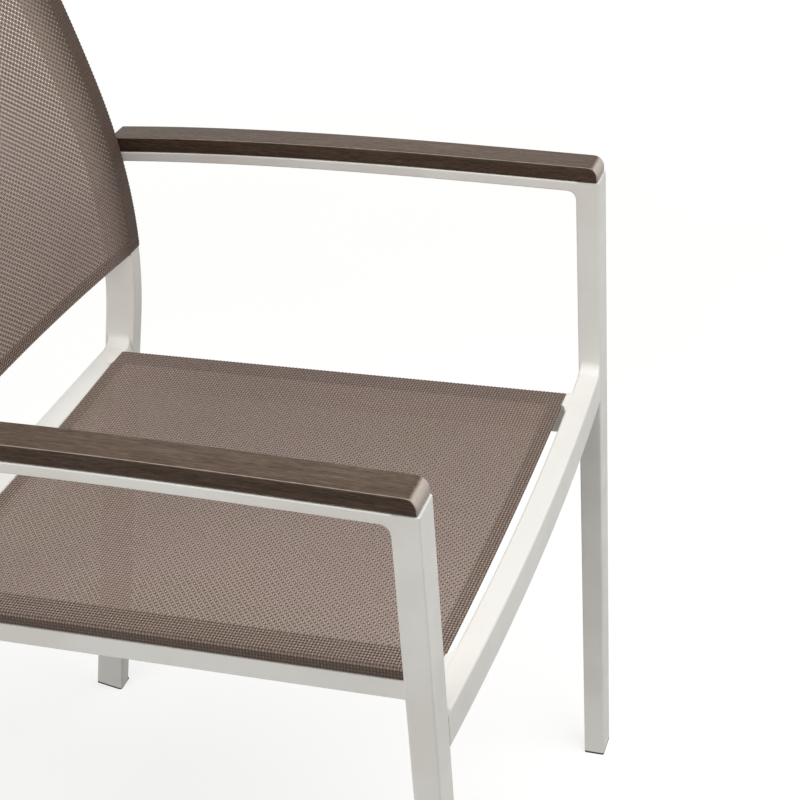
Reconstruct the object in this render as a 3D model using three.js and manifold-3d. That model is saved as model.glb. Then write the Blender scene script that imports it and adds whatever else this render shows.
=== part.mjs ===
// A sling patio armchair: a welded aluminium frame with bent back posts, woven slings
// held in grooves by keder rods, and arched armrest slats screwed down from below.
// Millimetres, +Z up, front towards -Y, the sitter's left hand towards +X.

import * as THREE from 'three';
import { mergeVertices } from 'three/addons/utils/BufferGeometryUtils.js';
import Module from 'manifold-3d';

// Overall sizes. Depths are measured back from the front legs' front faces.
const overallWidth = 520;
const armrestHeight = 650;
const seatHeight = 455.6;
const backHeight = 862;
const backSetback = 432.5;
const clearance = 0.3;

// Front legs, arm bars and armrests
const legWidth = 28;
const legDepth = 20;
const legCorner = 1.6;
const tubeWall = 1.6;
const armBarThickness = 8.8;
const armBarEdge = 0.9;
const armWeldRadius = 7;
const armrestThickness = 13.6;
const armrestWidth = 27.4;
const armrestLap = 15; // behind the back's foremost line
const armrestSetback = 1.3;
const armrestNose = 9;
const armrestEdge = 1.5;
const archRise = 7.6;
const archDrop = 13.1;

// Armrest screws, placed along the arm by shares of its length
const screwShares = [0.14, 0.5, 0.84];
const screwHeadRadius = 4.4;
const screwHeadHeight = 2.4;
const screwHeadLand = 0.8;
const screwShankRadius = 2;
const screwBite = 9;
const screwTip = 2;

// Back posts: straight raked leg, lumbar bend, gentler upper bend
const postWidth = 20;
const postDepth = 29;
const lumbarHeight = 567;
const lumbarRadius = 520;
const upperRadius = 1400;
const legRake = THREE.MathUtils.degToRad(11.1);
const upperBendAngle = THREE.MathUtils.degToRad(13.9);
const postStep = 27;

// Seat side rails
const seatRailWidth = 22.5;
const seatRailDepth = 27.9;
const seatRailInset = 17.5;
const seatFall = 7.6;

// Groove that takes a sling's edge, in the outer face of a post or a side rail
const slingThickness = 0.8;
const slingWrap = 8.2;
const shoulderRadius = 3;
const kederRadius = 2.4;
const grooveLip = 1.6;
const extrusionCorner = 1.5;

// Cross rails
const frontRailHeight = 31;
const frontRailDepth = 19;
const frontRailBow = 7;
const frontRailCorner = 2.2;
const rearRailHeight = 27;
const rearRailDepth = 20;
const rearRailCorner = 3;
const rearRailDrop = 5;
const rearRailLap = 6; // behind the posts' front faces
const topRailHeight = 30;
const topRailDepth = 20;
const topRailCorner = 3;
const backBow = 10;
const weldRadius = 8;
const weldRoot = 0.9;

// Slings
const seatSlingFrontGap = 3.5;
const seatSlingRearGap = 4.5;
const seatSag = 5;
const backSlingLowShare = 0.21; // of the rise from the seat to the back's top
const backSlingGap = 5;
const slingStep = 20;
const slingPanelSteps = 5;

// Caps
const capThickness = 1.8;
const capSpigot = 14;
const soleTrim = 0.8;

// Places that follow from the sizes
const legOuterX = overallWidth / 2;
const legInnerX = legOuterX - legWidth;
const armCentreX = (legOuterX + legInnerX) / 2;
const postOuterX = legInnerX - clearance;
const postInnerX = postOuterX - postWidth;
const seatRailOuterX = postInnerX - seatRailInset;
const armrestFront = armrestSetback;
const armrestRear = backSetback + armrestLap;
const armrestLength = armrestRear - armrestFront;
const slingGap = clearance + slingThickness / 2;
const rebate = slingThickness + 2 * clearance;
const slotWidth = 2 * slingThickness + 2 * clearance;
const boreRadius = kederRadius + slingThickness + 2 * clearance;
const grooveFall = slingWrap + slotWidth / 2;

const xAxis = new THREE.Vector3(1, 0, 0);
const yAxis = new THREE.Vector3(0, 1, 0);
const zAxis = new THREE.Vector3(0, 0, 1);

// Joining and cutting

const wasm = await Module();
wasm.setup();

function solidOf(geometry) {
  const bare = geometry.clone();
  bare.deleteAttribute('normal');
  bare.deleteAttribute('uv');
  const merged = mergeVertices(bare);
  const vertProperties = new Float32Array(merged.attributes.position.array);
  const triVerts = new Uint32Array(merged.index.array);
  return new wasm.Manifold(new wasm.Mesh({ numProp: 3, vertProperties, triVerts }));
}

function geometryOf(solid) {
  const mesh = solid.getMesh();
  const geometry = new THREE.BufferGeometry();
  geometry.setAttribute('position', new THREE.BufferAttribute(mesh.vertProperties, 3));
  geometry.setIndex(new THREE.BufferAttribute(mesh.triVerts, 1));
  geometry.computeVertexNormals();
  return geometry;
}

// Outlines and sweeps

function arc(centreX, centreY, radius, fromDegrees, toDegrees, steps) {
  return Array.from({ length: steps + 1 }, (_, i) => {
    const angle = THREE.MathUtils.degToRad(fromDegrees + (toDegrees - fromDegrees) * i / steps);
    return new THREE.Vector2(centreX + radius * Math.cos(angle), centreY + radius * Math.sin(angle));
  });
}

function roundedBox(left, bottom, right, top, radius, steps = 2) {
  return [
    ...arc(right - radius, bottom + radius, radius, -90, 0, steps),
    ...arc(right - radius, top - radius, radius, 0, 90, steps),
    ...arc(left + radius, top - radius, radius, 90, 180, steps),
    ...arc(left + radius, bottom + radius, radius, 180, 270, steps),
  ];
}

function shapeOf(outline, holes = []) {
  const clockwise = THREE.ShapeUtils.isClockWise(outline);
  const shape = new THREE.Shape(clockwise ? [...outline].reverse() : outline);
  holes.forEach((hole) => shape.holes.push(new THREE.Path(hole)));
  return shape;
}

// Carries a flat shape through a list of stations. A station has its place and the
// directions of the shape's own x and y there.
function sweep(shape, stations) {
  const steps = stations.length - 1;
  const geometry = new THREE.ExtrudeGeometry(shape, { depth: steps, steps, bevelEnabled: false });
  const position = geometry.attributes.position;
  const point = new THREE.Vector3();
  for (let i = 0; i < position.count; i++) {
    const station = stations[Math.round(position.getZ(i))];
    point.copy(station.at);
    point.addScaledVector(station.across, position.getX(i));
    point.addScaledVector(station.up, position.getY(i));
    position.setXYZ(i, point.x, point.y, point.z);
  }
  geometry.computeVertexNormals();
  return geometry;
}

function steppedLengths(from, to, step) {
  const count = Math.max(1, Math.ceil((to - from) / step));
  return Array.from({ length: count + 1 }, (_, i) => from + (to - from) * i / count);
}

// A rounded bar or tube across the chair, bowed at the middle along its across direction
function crossRail({ halfSpan, at, across, up, bow, outline, hole }) {
  const steps = bow ? 16 : 1;
  const stations = Array.from({ length: steps + 1 }, (_, i) => {
    const share = 2 * i / steps - 1;
    const place = at.clone().addScaledVector(across, bow * (1 - share * share));
    place.x = halfSpan * share;
    return { at: place, across, up };
  });
  return sweep(shapeOf(outline, hole ? [hole] : []), stations);
}

// The hollow corner that a ground weld leaves. It starts on the neighbour's face, runs
// outwards along the piece that carries it, and is rooted a little below its surface.
function weldFillet(radius, length, place, along, outwards, up) {
  const shape = shapeOf([
    new THREE.Vector2(0, -weldRoot),
    new THREE.Vector2(radius, -weldRoot),
    ...arc(radius, radius, radius, -90, -180, 5),
  ]);
  const stations = [-length / 2, length / 2].map((distance) => (
    { at: place.clone().addScaledVector(along, distance), across: outwards, up }
  ));
  const turned = new THREE.Vector3().crossVectors(outwards, up).dot(along) < 0;
  return solidOf(sweep(shape, turned ? stations.reverse() : stations));
}

// The post's front face, by length along it from the lumbar line, upwards

const lumbarLow = -lumbarRadius * legRake;
const lumbarHigh = lumbarRadius * upperBendAngle;

function postFace(length) {
  const leg = Math.min(0, length - lumbarLow);
  const upper = Math.max(0, length - lumbarHigh);
  const bend = (length - leg - upper) / lumbarRadius;
  const angle = bend + upper / upperRadius;
  const depth = lumbarRadius * (1 - Math.cos(bend)) + upperRadius * (Math.cos(bend) - Math.cos(angle))
    - leg * Math.sin(legRake);
  const rise = lumbarRadius * Math.sin(bend) + upperRadius * (Math.sin(angle) - Math.sin(bend))
    + leg * Math.cos(legRake);
  return { y: backSetback + depth, z: lumbarHeight + rise, angle };
}

function postStation(length) {
  const { y, z, angle } = postFace(length);
  return {
    at: new THREE.Vector3(0, y, z),
    across: new THREE.Vector3(-1, 0, 0),
    up: new THREE.Vector3(0, -Math.cos(angle), Math.sin(angle)),
  };
}

// The length along the front face at which it reaches a height
function postLengthAt(height) {
  let low = lumbarLow - backHeight;
  let high = lumbarHigh + backHeight;
  for (let i = 0; i < 60; i++) {
    const middle = (low + high) / 2;
    if (postFace(middle).z < height) low = middle;
    else high = middle;
  }
  return high;
}

const postCapTop = postLengthAt(backHeight);
const postTop = postCapTop - capThickness - clearance;
const soleLength = postLengthAt(-soleTrim);
const postFoot = soleLength + capThickness + clearance;

function postStations(from, to, step) {
  const bent = steppedLengths(Math.max(from, lumbarLow), to, step);
  return (from < lumbarLow ? [from, ...bent] : bent).map(postStation);
}

// The seat plane, from front to rear

const rearRailTop = seatHeight - seatFall - rearRailDrop;
const rearRailFront = postFace(postLengthAt(rearRailTop)).y + rearRailLap;
const seatSlingFront = frontRailDepth + seatSlingFrontGap;
const seatSlingRear = rearRailFront - seatSlingRearGap;

function seatRailTop(y) {
  return seatHeight - slingThickness - clearance - seatFall * y / rearRailFront;
}

function seatStation(y) {
  return { at: new THREE.Vector3(0, y, seatRailTop(y)), across: new THREE.Vector3(-1, 0, 0), up: zAxis };
}

// The armrest's arch

function archHeight(y) {
  const share = (y - armrestFront) / armrestLength;
  return armrestHeight + archRise * share - archDrop * share ** 3;
}

function archSlope(y) {
  const share = (y - armrestFront) / armrestLength;
  return Math.atan((archRise - 3 * archDrop * share * share) / armrestLength);
}

function archPoints(from, to, drop, steps) {
  return Array.from({ length: steps + 1 }, (_, i) => {
    const y = from + (to - from) * i / steps;
    return new THREE.Vector2(y, archHeight(y) - drop);
  });
}

// Side-view outlines are drawn with x back and y up, then stood up across the chair

function slabAcross(outline, width, edge, centreX) {
  const geometry = new THREE.ExtrudeGeometry(shapeOf(outline), {
    depth: width - 2 * edge,
    bevelThickness: edge,
    bevelSize: edge,
    bevelOffset: -edge,
    bevelSegments: 2,
  });
  geometry.translate(0, 0, edge - width / 2);
  geometry.applyMatrix4(new THREE.Matrix4().makeBasis(yAxis, zAxis, xAxis));
  geometry.translate(centreX, 0, 0);
  return geometry;
}

// The grooved extrusion of posts and side rails. Its outline runs outwards from the
// inner face and down from the face that the sling lies on.

function groovedSection(side, innerX, width, depth) {
  const lipAngle = THREE.MathUtils.radToDeg(Math.asin(slotWidth / 2 / boreRadius));
  const boreCentre = width - grooveLip - boreRadius;
  const corner = extrusionCorner;
  const shoulderCentre = width - rebate - shoulderRadius;
  const outline = [
    ...arc(corner, corner - depth, corner, 180, 270, 2),
    ...arc(width - corner, corner - depth, corner, -90, 0, 2),
    new THREE.Vector2(width, -grooveFall - slotWidth / 2),
    ...arc(boreCentre, -grooveFall, boreRadius, -lipAngle, lipAngle - 360, 12),
    new THREE.Vector2(width - rebate, -grooveFall + slotWidth / 2),
    ...arc(shoulderCentre, -shoulderRadius, shoulderRadius, 0, 90, 3),
    ...arc(corner, -corner, corner, 90, 180, 2),
  ];
  return outline.map((p) => new THREE.Vector2(-side * (innerX + p.x), p.y));
}

// The closed chamber behind the groove, which also takes a cap's spigot
function chamberSection(side, innerX, width, depth, inset) {
  const top = -grooveFall - boreRadius - tubeWall - inset;
  const wall = tubeWall + inset;
  const corner = extrusionCorner / 2;
  const outline = roundedBox(wall, wall - depth, width - wall, top, corner, 1);
  return outline.map((p) => new THREE.Vector2(-side * (innerX + p.x), p.y));
}

function kederSection(side, outerX) {
  const centreX = -side * (outerX - grooveLip - boreRadius);
  return shapeOf(arc(centreX, -grooveFall, kederRadius, 0, 324, 9));
}

// A sling's section: a shallow parabola between the rails, round each shoulder, down the
// rebate, through the slot and round the keder rod in an open loop
function slingSection(outerX, innerX, sag) {
  const edgeX = outerX - clearance - slingThickness / 2;
  const shoulderX = outerX - rebate - shoulderRadius;
  const boreX = outerX - grooveLip - boreRadius;
  const loopRadius = kederRadius + slingGap;
  const panel = Array.from({ length: slingPanelSteps + 1 }, (_, i) => {
    const share = i / slingPanelSteps;
    return new THREE.Vector2(innerX * share, slingGap - sag * (1 - share * share));
  });
  const half = [
    ...panel,
    ...arc(shoulderX, -shoulderRadius, edgeX - shoulderX, 90, 0, 3),
    new THREE.Vector2(edgeX, -grooveFall),
    ...arc(boreX, -grooveFall, loopRadius, 0, 288, 6),
  ];
  const other = half.slice(1).reverse().map((p) => new THREE.Vector2(-p.x, p.y));
  return thickened([...other, ...half], slingThickness / 2);
}

// The closed outline at a given distance on both sides of an open line
function thickened(line, distance) {
  const normals = line.slice(1).map((p, i) => {
    const along = p.clone().sub(line[i]).normalize();
    return new THREE.Vector2(-along.y, along.x);
  });
  const offset = (sign) => line.map((p, i) => {
    const before = normals[Math.max(i - 1, 0)];
    const after = normals[Math.min(i, normals.length - 1)];
    const sum = before.clone().add(after);
    return p.clone().addScaledVector(sum, sign * distance * 2 / sum.lengthSq());
  });
  return [...offset(1), ...offset(-1).reverse()];
}

// Pieces

const frame = { color: 0xe6e3dc, roughness: 0.42, metalness: 0 };
const slat = { color: 0x4b3c34, roughness: 0.62, metalness: 0 };
const weave = { color: 0x7d6c64, roughness: 0.78, metalness: 0 };
const darkPlastic = { color: 0x1f1f20, roughness: 0.55, metalness: 0 };
const palePlastic = { color: 0xdcd9d2, roughness: 0.5, metalness: 0 };
const steel = { color: 0xb4b5b6, roughness: 0.35, metalness: 1 };

const chair = new THREE.Group();

function addPiece(name, geometry, finish) {
  const piece = new THREE.Mesh(geometry, new THREE.MeshStandardMaterial(finish));
  piece.name = name;
  chair.add(piece);
  return piece;
}

function uprightTube(outline, bottom, top) {
  const geometry = new THREE.ExtrudeGeometry(shapeOf(outline), { depth: top - bottom, bevelEnabled: false });
  geometry.translate(0, 0, bottom);
  return geometry;
}

function frontLeg(side) {
  const centreX = side * armCentreX;
  const outer = (inset) => roundedBox(
    centreX - legWidth / 2 + inset, inset,
    centreX + legWidth / 2 - inset, legDepth - inset,
    legCorner, 2,
  );
  const top = archHeight(0) - armrestThickness - clearance;
  const bottom = capThickness + clearance;
  const bore = uprightTube(outer(tubeWall), 0, top - tubeWall);
  return geometryOf(solidOf(uprightTube(outer(0), bottom, top)).subtract(solidOf(bore)));
}

function frontFootCap(side) {
  const centreX = side * armCentreX;
  const box = (inset) => roundedBox(
    centreX - legWidth / 2 + inset, inset,
    centreX + legWidth / 2 - inset, legDepth - inset,
    legCorner, 2,
  );
  const plate = uprightTube(box(0), 0, capThickness);
  const spigot = uprightTube(box(tubeWall + clearance), capThickness / 2, capThickness + capSpigot);
  return geometryOf(solidOf(plate).add(solidOf(spigot)));
}

function armrestScrew(side, y) {
  const tipHeight = armBarThickness + screwBite;
  const profile = [
    [0, -screwHeadHeight],
    [screwHeadRadius / 2, -screwHeadHeight],
    [screwHeadRadius, -screwHeadLand],
    [screwHeadRadius, 0],
    [screwShankRadius, 0],
    [screwShankRadius, tipHeight - screwTip],
    [0, tipHeight],
  ].map(([radius, height]) => new THREE.Vector2(radius, height));
  const geometry = new THREE.LatheGeometry(profile, 16);
  geometry.translate(0, -armBarThickness - 2 * clearance, 0);
  return stoodUnderArmrest(geometry, side, y);
}

// Turns a screw or its hole from +Y to the arch's normal, its origin on the slat's underside
function stoodUnderArmrest(geometry, side, y) {
  geometry.rotateX(Math.PI / 2 + archSlope(y));
  geometry.translate(side * armCentreX, y, archHeight(y) - armrestThickness);
  return geometry;
}

function screwHole(side, y, radius, bottom, top) {
  const hole = new THREE.CylinderGeometry(radius, radius, top - bottom, 16);
  hole.translate(0, (top + bottom) / 2, 0);
  return solidOf(stoodUnderArmrest(hole, side, y));
}

const screwPlaces = screwShares.map((share) => armrestFront + share * armrestLength);
const holeRadius = screwShankRadius + clearance;

// The arm bar meets the leg with a ground weld below and runs to the post's rear face
function armBar(side) {
  const drop = armrestThickness + clearance;
  const front = legDepth + clearance;
  const underside = archHeight(armrestRear) - drop - armBarThickness;
  const rear = postFace(postLengthAt(underside)).y + postDepth;
  const low = archHeight(front) - drop - armBarThickness;
  const outline = [
    ...archPoints(front, rear, drop + armBarThickness, 14),
    ...archPoints(front, rear, drop, 14).reverse(),
  ];
  const corner = new THREE.Vector3(side * armCentreX, front, low);
  const down = zAxis.clone().negate();
  const weld = weldFillet(armWeldRadius, legWidth - 2 * armBarEdge, corner, xAxis, yAxis, down);
  const bar = solidOf(slabAcross(outline, legWidth, armBarEdge, side * armCentreX)).add(weld);
  const holes = screwPlaces.map((y) => (
    screwHole(side, y, holeRadius, -2 * armBarThickness, armrestThickness / 2)
  ));
  return geometryOf(holes.reduce((body, hole) => body.subtract(hole), bar));
}

function armrest(side) {
  const centreX = side * (legOuterX - (legWidth - armrestWidth) / 2);
  const nose = arc(
    armrestFront + armrestNose, archHeight(armrestFront + armrestNose) - armrestNose,
    armrestNose, 180, 90, 5,
  );
  const outline = [
    new THREE.Vector2(armrestFront, archHeight(armrestFront) - armrestThickness),
    ...nose,
    ...archPoints(armrestFront + 2 * armrestNose, armrestRear, 0, 14),
    ...archPoints(armrestFront + 2 * armrestNose, armrestRear, armrestThickness, 14).reverse(),
  ];
  const middleX = centreX - side * armrestWidth / 2;
  const slab = solidOf(slabAcross(outline, armrestWidth, armrestEdge, middleX));
  const depth = screwBite + clearance;
  const holes = screwPlaces.map((y) => screwHole(side, y, holeRadius, -armBarThickness, depth));
  return geometryOf(holes.reduce((body, hole) => body.subtract(hole), slab));
}

function backPost(side) {
  const section = shapeOf(
    groovedSection(side, postInnerX, postWidth, postDepth),
    [chamberSection(side, postInnerX, postWidth, postDepth, 0)],
  );
  return sweep(section, postStations(postFoot, postTop, postStep));
}

// A plug for an end of a post: a plate on the outside and a spigot in the chamber
function postPlug(side, outside, inside) {
  const reach = Math.sign(inside - outside);
  const lengths = (from, to) => [from, to].sort((a, b) => a - b).map(postStation);
  const plateOutline = roundedBox(postInnerX, -postDepth, postOuterX, 0, extrusionCorner)
    .map((p) => new THREE.Vector2(-side * p.x, p.y));
  const spigotOutline = chamberSection(side, postInnerX, postWidth, postDepth, clearance);
  const plate = sweep(shapeOf(plateOutline), lengths(outside, outside + reach * capThickness));
  const spigot = sweep(shapeOf(spigotOutline), lengths(
    outside + reach * capThickness / 2,
    outside + reach * (capThickness + capSpigot),
  ));
  return solidOf(plate).add(solidOf(spigot));
}

// The rear feet are cut square to the leg, and their plugs are planed level with the floor
function rearFootCap(side) {
  const above = new THREE.BoxGeometry(overallWidth, overallWidth, overallWidth);
  above.translate(0, postFace(soleLength).y, overallWidth / 2);
  return geometryOf(postPlug(side, soleLength, postFoot).intersect(solidOf(above)));
}

function postCap(side) {
  return geometryOf(postPlug(side, postCapTop, postTop));
}

function frontRailBody(halfSpan, grow) {
  const hollow = roundedBox(
    -frontRailDepth / 2 + tubeWall, -frontRailHeight / 2 + tubeWall,
    frontRailDepth / 2 - tubeWall, frontRailHeight / 2 - tubeWall,
    frontRailCorner / 2, 1,
  );
  return crossRail({
    halfSpan,
    at: new THREE.Vector3(0, frontRailDepth / 2, seatHeight - frontRailHeight / 2),
    across: yAxis,
    up: zAxis,
    bow: -frontRailBow,
    outline: roundedBox(
      -frontRailDepth / 2 - grow, -frontRailHeight / 2 - grow,
      frontRailDepth / 2 + grow, frontRailHeight / 2 + grow,
      frontRailCorner, 3,
    ),
    hole: grow ? null : hollow,
  });
}

function frontRail() {
  const halfSpan = legInnerX - clearance;
  let rail = solidOf(frontRailBody(halfSpan, 0));
  for (const side of [-1, 1]) {
    const inwards = new THREE.Vector3(-side, 0, 0);
    const length = frontRailDepth - 2 * frontRailCorner;
    const place = new THREE.Vector3(side * halfSpan, frontRailDepth / 2, seatHeight);
    rail = rail.add(weldFillet(weldRadius, length, place, yAxis, inwards, zAxis));
  }
  return geometryOf(rail);
}

function seatSideRail(side) {
  const innerX = seatRailOuterX - seatRailWidth;
  const section = shapeOf(
    groovedSection(side, innerX, seatRailWidth, seatRailDepth),
    [chamberSection(side, innerX, seatRailWidth, seatRailDepth, 0)],
  );
  const stations = [frontRailDepth / 2, rearRailFront - clearance].map(seatStation);
  const cut = solidOf(frontRailBody(legInnerX, clearance));
  const inwards = new THREE.Vector3(-side, 0, 0);
  const height = seatRailDepth - 2 * extrusionCorner;
  const edge = (innerX / (legInnerX - clearance)) ** 2 * frontRailBow;
  const rearFace = frontRailDepth - frontRailBow + edge;
  const corner = new THREE.Vector3(side * innerX, rearFace, seatRailTop(rearFace) - seatRailDepth / 2);
  const weld = weldFillet(weldRadius, height, corner, zAxis, yAxis, inwards);
  return geometryOf(solidOf(sweep(section, stations)).add(weld).subtract(cut));
}

function rearRail() {
  const halfSpan = postInnerX - clearance;
  const box = (inset, corner, steps) => roundedBox(
    -rearRailDepth / 2 + inset, -rearRailHeight / 2 + inset,
    rearRailDepth / 2 - inset, rearRailHeight / 2 - inset,
    corner, steps,
  );
  let rail = solidOf(crossRail({
    halfSpan,
    at: new THREE.Vector3(0, rearRailFront + rearRailDepth / 2, rearRailTop - rearRailHeight / 2),
    across: yAxis,
    up: zAxis,
    bow: 0,
    outline: box(0, rearRailCorner, 3),
    hole: box(tubeWall, rearRailCorner / 2, 1),
  }));
  for (const side of [-1, 1]) {
    const inwards = new THREE.Vector3(-side, 0, 0);
    const length = rearRailDepth - 2 * rearRailCorner;
    const place = new THREE.Vector3(side * halfSpan, rearRailFront + rearRailDepth / 2, rearRailTop);
    rail = rail.add(weldFillet(weldRadius, length, place, yAxis, inwards, zAxis));
  }
  return geometryOf(rail);
}

function topRail() {
  const station = postStation(postTop - topRailHeight / 2);
  const back = station.up.clone().negate();
  const along = new THREE.Vector3().crossVectors(xAxis, back);
  const box = (inset, corner, steps) => roundedBox(
    inset, -topRailHeight / 2 + inset,
    topRailDepth - inset, topRailHeight / 2 - inset,
    corner, steps,
  );
  return crossRail({
    halfSpan: postInnerX - clearance,
    at: station.at,
    across: back,
    up: along,
    bow: backBow,
    outline: box(0, topRailCorner, 3),
    hole: box(tubeWall, topRailCorner / 2, 1),
  });
}

const backSlingTop = postTop - topRailHeight - backSlingGap;
const backSlingFoot = postLengthAt(seatHeight + (backHeight - seatHeight) * backSlingLowShare);

function seatSling() {
  const section = slingSection(seatRailOuterX, seatRailOuterX - seatRailWidth, seatSag);
  return sweep(shapeOf(section), [seatSlingFront, seatSlingRear].map(seatStation));
}

function backSlingStations() {
  return steppedLengths(backSlingFoot, backSlingTop, slingStep).map(postStation);
}

function backSling() {
  return sweep(shapeOf(slingSection(postOuterX, postInnerX, backBow)), backSlingStations());
}

function seatKeder(side) {
  return sweep(kederSection(side, seatRailOuterX), [seatSlingFront, seatSlingRear].map(seatStation));
}

function backKeder(side) {
  return sweep(kederSection(side, postOuterX), backSlingStations());
}

for (const [sideName, side] of [['right', -1], ['left', 1]]) {
  addPiece(`front_leg_${sideName}`, frontLeg(side), frame);
  addPiece(`front_foot_cap_${sideName}`, frontFootCap(side), darkPlastic);
  addPiece(`arm_bar_${sideName}`, armBar(side), frame);
  addPiece(`armrest_${sideName}`, armrest(side), slat);
  screwPlaces.forEach((y, i) => addPiece(`armrest_screw_${sideName}_${i + 1}`, armrestScrew(side, y), steel));
  addPiece(`back_post_${sideName}`, backPost(side), frame);
  addPiece(`post_cap_${sideName}`, postCap(side), palePlastic);
  addPiece(`rear_foot_cap_${sideName}`, rearFootCap(side), darkPlastic);
  addPiece(`seat_side_rail_${sideName}`, seatSideRail(side), frame);
  addPiece(`seat_keder_${sideName}`, seatKeder(side), palePlastic);
  addPiece(`back_keder_${sideName}`, backKeder(side), palePlastic);
}
addPiece('front_rail', frontRail(), frame);
addPiece('rear_rail', rearRail(), frame);
addPiece('top_rail', topRail(), frame);
addPiece('seat_sling', seatSling(), weave);
addPiece('back_sling', backSling(), weave);

// The origin is on the floor, below the middle of the whole chair
const bounds = new THREE.Box3().setFromObject(chair);
chair.position.y = -(bounds.min.y + bounds.max.y) / 2;

export default chair;
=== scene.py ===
import math

import bmesh
import bpy
from mathutils import Matrix, Vector


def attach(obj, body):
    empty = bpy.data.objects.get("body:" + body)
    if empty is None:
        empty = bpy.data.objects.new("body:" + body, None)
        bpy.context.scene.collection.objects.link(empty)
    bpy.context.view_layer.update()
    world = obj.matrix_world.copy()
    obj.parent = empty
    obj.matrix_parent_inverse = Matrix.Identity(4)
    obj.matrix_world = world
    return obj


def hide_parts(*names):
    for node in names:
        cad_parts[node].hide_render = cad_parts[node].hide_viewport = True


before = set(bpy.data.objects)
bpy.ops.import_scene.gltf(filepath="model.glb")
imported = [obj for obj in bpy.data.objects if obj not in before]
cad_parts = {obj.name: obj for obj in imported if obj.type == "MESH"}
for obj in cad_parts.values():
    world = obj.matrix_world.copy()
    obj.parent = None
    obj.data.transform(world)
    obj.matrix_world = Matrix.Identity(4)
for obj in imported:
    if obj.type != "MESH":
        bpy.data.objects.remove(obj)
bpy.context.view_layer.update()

mm = 0.001

whole = {
    "halfWidth": 260.0,
    "depthShift": -277.721,  # from the front legs' front faces to the middle of the chair
    "seatHeight": 455.6,
    "backSetback": 432.5,
    "fit": 0.3,  # left free where one piece ends at another
}
xAxis, yAxis, zAxis = Vector((1, 0, 0)), Vector((0, 1, 0)), Vector((0, 0, 1))


def place(x, y, z):  # millimetres behind the front legs' faces, to metres in the frame
    return Vector((x, y + whole["depthShift"], z)) * mm


# The camera stands at the front right corner, above the near armrest
camera = {
    "location": (-1.096688, -0.584890, 1.262432),
    "azimuth": 71.90420,
    "elevation": -32.91271,
    "roll": -3.24172,
    "lens": 80.2557,
    "sensor": 36.0,
    "shift": (-0.0851, 0.06),
    "clip": (0.05, 60),
}


def buildCamera():
    data = bpy.data.cameras.new("camera")
    data.sensor_width = camera["sensor"]
    data.lens = camera["lens"]
    data.shift_x, data.shift_y = camera["shift"]
    data.clip_start, data.clip_end = camera["clip"]
    seen = bpy.data.objects.new("camera", data)
    bpy.context.scene.collection.objects.link(seen)
    turn = Matrix.Rotation(math.radians(-camera["azimuth"]), 4, "Z")
    tilt = Matrix.Rotation(math.radians(90 + camera["elevation"]), 4, "X")
    roll = Matrix.Rotation(math.radians(camera["roll"]), 4, "Z")
    seen.matrix_world = Matrix.Translation(camera["location"]) @ turn @ tilt @ roll
    bpy.context.scene.camera = seen


buildCamera()
print("camera placed")


# Node graphs: a wire is one socket, and sums of wires add their own maths nodes
class Wire:
    def __init__(self, graph, socket):
        self.graph = graph
        self.socket = socket

    def __add__(self, other):
        return self.graph.maths("ADD", self, other)

    def __sub__(self, other):
        return self.graph.maths("SUBTRACT", self, other)

    def __rsub__(self, other):
        return self.graph.maths("SUBTRACT", other, self)

    def __mul__(self, other):
        return self.graph.maths("MULTIPLY", self, other)

    def __truediv__(self, other):
        return self.graph.maths("DIVIDE", self, other)

    def fraction(self):
        return self.graph.maths("FRACT", self)

    def floor(self):
        return self.graph.maths("FLOOR", self)

    def size(self):
        return self.graph.maths("ABSOLUTE", self)

    def most(self, other):
        return self.graph.maths("MAXIMUM", self, other)

    def least(self, other):
        return self.graph.maths("MINIMUM", self, other)

    def ramp(self, low, high, bottom=0.0, top=1.0):  # a soft step between two levels
        values = {"Value": self, "From Min": low, "From Max": high, "To Min": bottom, "To Max": top}
        return self.graph.add("ShaderNodeMapRange", {"interpolation_type": "SMOOTHSTEP"}, values)


class Graph:
    def __init__(self, tree):
        self.tree = tree
        tree.nodes.clear()

    def node(self, kind, settings=None, values=None):
        made = self.tree.nodes.new(kind)
        for key, value in (settings or {}).items():
            if key == "stops":
                self.setStops(made.color_ramp, value)
            else:
                setattr(made, key, value)
        for key, value in (values or {}).items():
            socket = made.inputs[key]
            if isinstance(value, Wire):
                self.tree.links.new(value.socket, socket)
            else:
                socket.default_value = value
        return made

    def add(self, kind, settings=None, values=None, output=0):
        return Wire(self, self.node(kind, settings, values).outputs[output])

    def maths(self, operation, *operands):
        return self.add("ShaderNodeMath", {"operation": operation}, dict(enumerate(operands)))

    def setStops(self, ramp, stops):
        while len(ramp.elements) < len(stops):
            ramp.elements.new(1.0)
        for element, (position, colour) in zip(ramp.elements, stops):
            element.position = position
            element.color = colour

    def mix(self, share, first, second, blend="MIX"):
        settings = {"data_type": "RGBA", "blend_type": blend}
        return self.add("ShaderNodeMix", settings, {0: share, 6: first, 7: second}, output=2)

    def parts(self, vector):  # its x, y and z
        split = self.node("ShaderNodeSeparateXYZ", None, {"Vector": vector})
        return [Wire(self, output) for output in split.outputs]

    def objectPoint(self, scale=(1, 1, 1)):
        point = self.add("ShaderNodeTexCoord", output="Object")
        return self.add("ShaderNodeMapping", None, {"Vector": point, "Scale": scale})

    def noise(self, point, scale, detail=2.0, roughness=0.5):
        values = {"Vector": point, "Scale": scale, "Detail": detail, "Roughness": roughness}
        return self.add("ShaderNodeTexNoise", None, values)

    def bump(self, height, strength, distance):
        values = {"Height": height, "Strength": strength, "Distance": distance}
        return self.add("ShaderNodeBump", None, values)

    def seen(self):  # 1 for what is looked at, straight, mirrored or through glass, 0 for light on things
        rays = self.node("ShaderNodeLightPath").outputs
        straight, mirrored = Wire(self, rays["Is Camera Ray"]), Wire(self, rays["Is Glossy Ray"])
        return (straight + mirrored + Wire(self, rays["Is Transmission Ray"])).least(1.0)


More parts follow.
